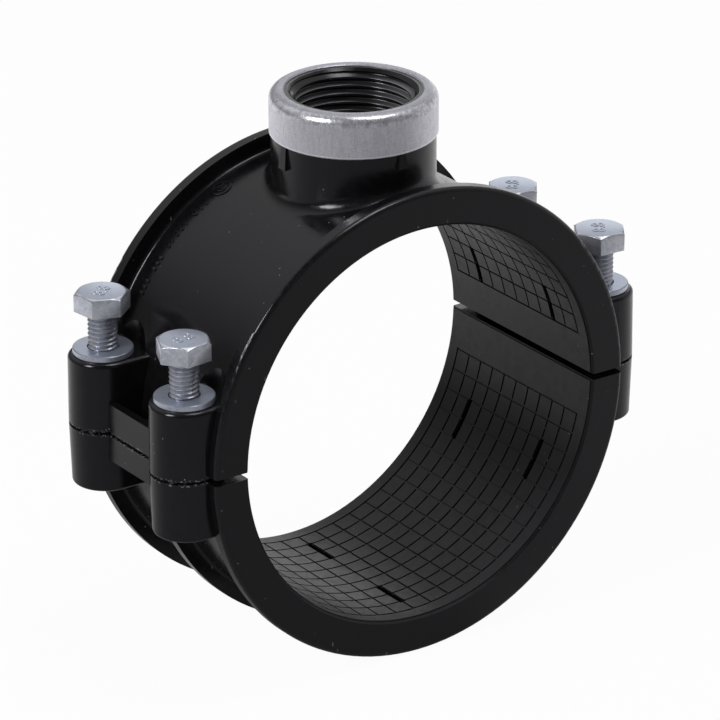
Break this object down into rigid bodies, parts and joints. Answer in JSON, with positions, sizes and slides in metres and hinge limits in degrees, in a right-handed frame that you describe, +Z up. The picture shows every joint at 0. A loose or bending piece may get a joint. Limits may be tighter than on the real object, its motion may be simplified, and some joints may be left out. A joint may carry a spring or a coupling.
{
  "type": "tapping saddle",
  "caption": "Split clamp saddle that bolts round a pipe and gives it a female-threaded side outlet held by a steel ring.",
  "frame": {"origin": "where the axis of the clamped pipe crosses the axis of the outlet", "axes": "+Z up the outlet, away from the pipe; the pipe runs along Y; the bolt lugs stand out along X"},
  "size_m": [0.1508, 0.064, 0.149],
  "materials": {
    "black_plastic": "injection-moulded black polypropylene, semi-gloss outside, satin on the end faces and in the bore",
    "zinc_ring": "zinc-plated steel, scratched side wall, polished shoulder, satin top",
    "zinc_fastener": "bright blue-white zinc plating",
    "zinc_washer": "satin zinc plating",
    "black_rubber": "black nitrile rubber"
  },
  "bodies": {
    "clamp_base": {"lower_saddle": "black_plastic", "nut_front_left": "zinc_fastener", "nut_rear_left": "zinc_fastener", "nut_front_right": "zinc_fastener", "nut_rear_right": "zinc_fastener"},
    "clamp_top": {"upper_saddle": "black_plastic", "reinforcing_ring": "zinc_ring", "outlet_gasket": "black_rubber", "washer_front_left": "zinc_washer", "washer_rear_left": "zinc_washer", "washer_front_right": "zinc_washer", "washer_rear_right": "zinc_washer"},
    "front_left_bolt": {"bolt_front_left": "zinc_fastener"},
    "rear_left_bolt": {"bolt_rear_left": "zinc_fastener"},
    "front_right_bolt": {"bolt_front_right": "zinc_fastener"},
    "rear_right_bolt": {"bolt_rear_right": "zinc_fastener"}
  },
  "joints": [
    {"name": "saddle_lift", "type": "slide", "parent": "clamp_base", "child": "clamp_top", "axis": [0, 0, 1], "range_m": [0, 0.01]},
    {"name": "front_left_screw", "type": "slide", "parent": "clamp_base", "child": "front_left_bolt", "axis": [0, 0, 1], "range_m": [-0.0101, 0.003]},
    {"name": "rear_left_screw", "type": "slide", "parent": "clamp_base", "child": "rear_left_bolt", "axis": [0, 0, 1], "range_m": [-0.0101, 0.003]},
    {"name": "front_right_screw", "type": "slide", "parent": "clamp_base", "child": "front_right_bolt", "axis": [0, 0, 1], "range_m": [-0.0101, 0.003]},
    {"name": "rear_right_screw", "type": "slide", "parent": "clamp_base", "child": "rear_right_bolt", "axis": [0, 0, 1], "range_m": [-0.0101, 0.003]}
  ]
}
